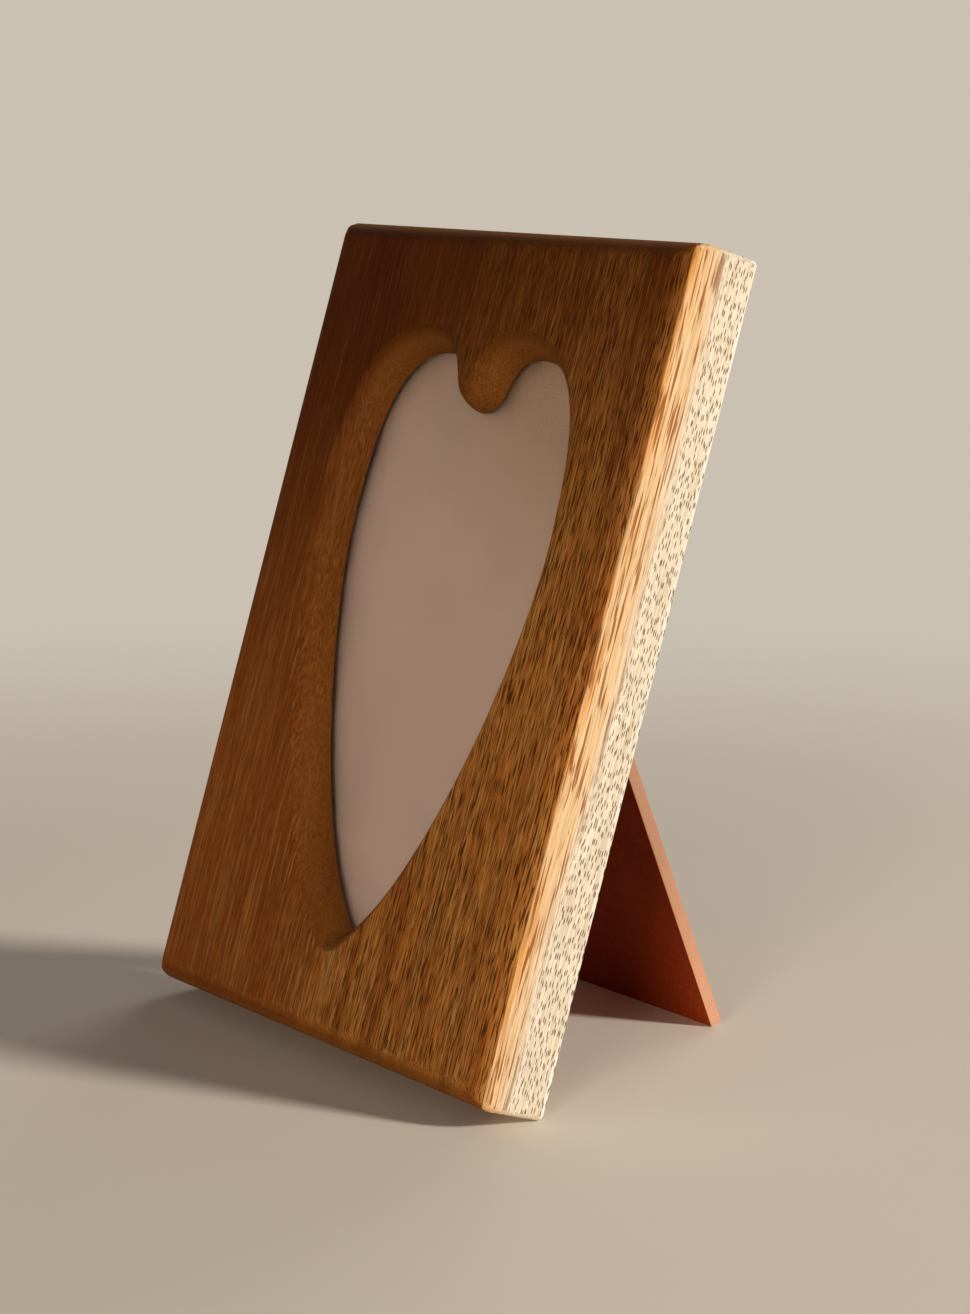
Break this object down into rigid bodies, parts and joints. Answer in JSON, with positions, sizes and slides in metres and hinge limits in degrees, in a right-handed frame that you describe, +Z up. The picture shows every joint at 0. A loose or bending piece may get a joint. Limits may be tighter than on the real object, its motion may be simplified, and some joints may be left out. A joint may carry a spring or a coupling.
{
  "type": "photo frame",
  "caption": "Solid hardwood block photo frame with a bevelled heart-shaped opening, glazed and backed from behind, leaning on a hinged easel stand.",
  "frame": {"origin": "on the floor, under the middle of the footprint of the open frame", "axes": "+Z up, +X to the right seen from the front, +Y to the rear, where the stand is"},
  "size_m": [0.15, 0.1028, 0.1956],
  "materials": {
    "hardwood": "sanded and oiled, open pores",
    "glass": "clear float glass",
    "insert_card": "plain off-white card",
    "greyboard": "uncoated grey card",
    "fibreboard": "smooth red-brown fibreboard",
    "plated_steel": "nickel plated",
    "brass": "brass plated"
  },
  "bodies": {
    "frame": {"frame_block": "hardwood", "glass_pane": "glass", "photo_insert": "insert_card", "backing_card": "greyboard", "backboard": "fibreboard", "hinge_fixed_leaf": "plated_steel", "hinge_pin": "plated_steel", "fixed_leaf_rivet_left": "plated_steel", "fixed_leaf_rivet_right": "plated_steel", "turn_button_screw_upper_left": "brass", "turn_button_screw_upper_right": "brass", "turn_button_screw_lower_left": "brass", "turn_button_screw_lower_right": "brass"},
    "stand": {"easel_stand": "fibreboard", "hinge_swing_leaf": "plated_steel", "swing_leaf_rivet_left": "plated_steel", "swing_leaf_rivet_right": "plated_steel"},
    "upper_left_button": {"turn_button_upper_left": "brass"},
    "upper_right_button": {"turn_button_upper_right": "brass"},
    "lower_left_button": {"turn_button_lower_left": "brass"},
    "lower_right_button": {"turn_button_lower_right": "brass"}
  },
  "joints": [
    {"name": "stand_hinge", "type": "hinge", "parent": "frame", "child": "stand", "pos_m": [0, 0.00924, 0.1331], "axis": [-1, 0, 0], "range_deg": [0, 34]},
    {"name": "upper_left_swivel", "type": "hinge", "parent": "frame", "child": "upper_left_button", "pos_m": [-0.06, 0.00877, 0.13951], "axis": [0, 0.9573, -0.289], "continuous": true},
    {"name": "upper_right_swivel", "type": "hinge", "parent": "frame", "child": "upper_right_button", "pos_m": [0.06, 0.00877, 0.13951], "axis": [0, 0.9573, -0.289], "continuous": true},
    {"name": "lower_left_swivel", "type": "hinge", "parent": "frame", "child": "lower_left_button", "pos_m": [-0.06, -0.01782, 0.05144], "axis": [0, 0.9573, -0.289], "continuous": true},
    {"name": "lower_right_swivel", "type": "hinge", "parent": "frame", "child": "lower_right_button", "pos_m": [0.06, -0.01782, 0.05144], "axis": [0, 0.9573, -0.289], "continuous": true}
  ]
}
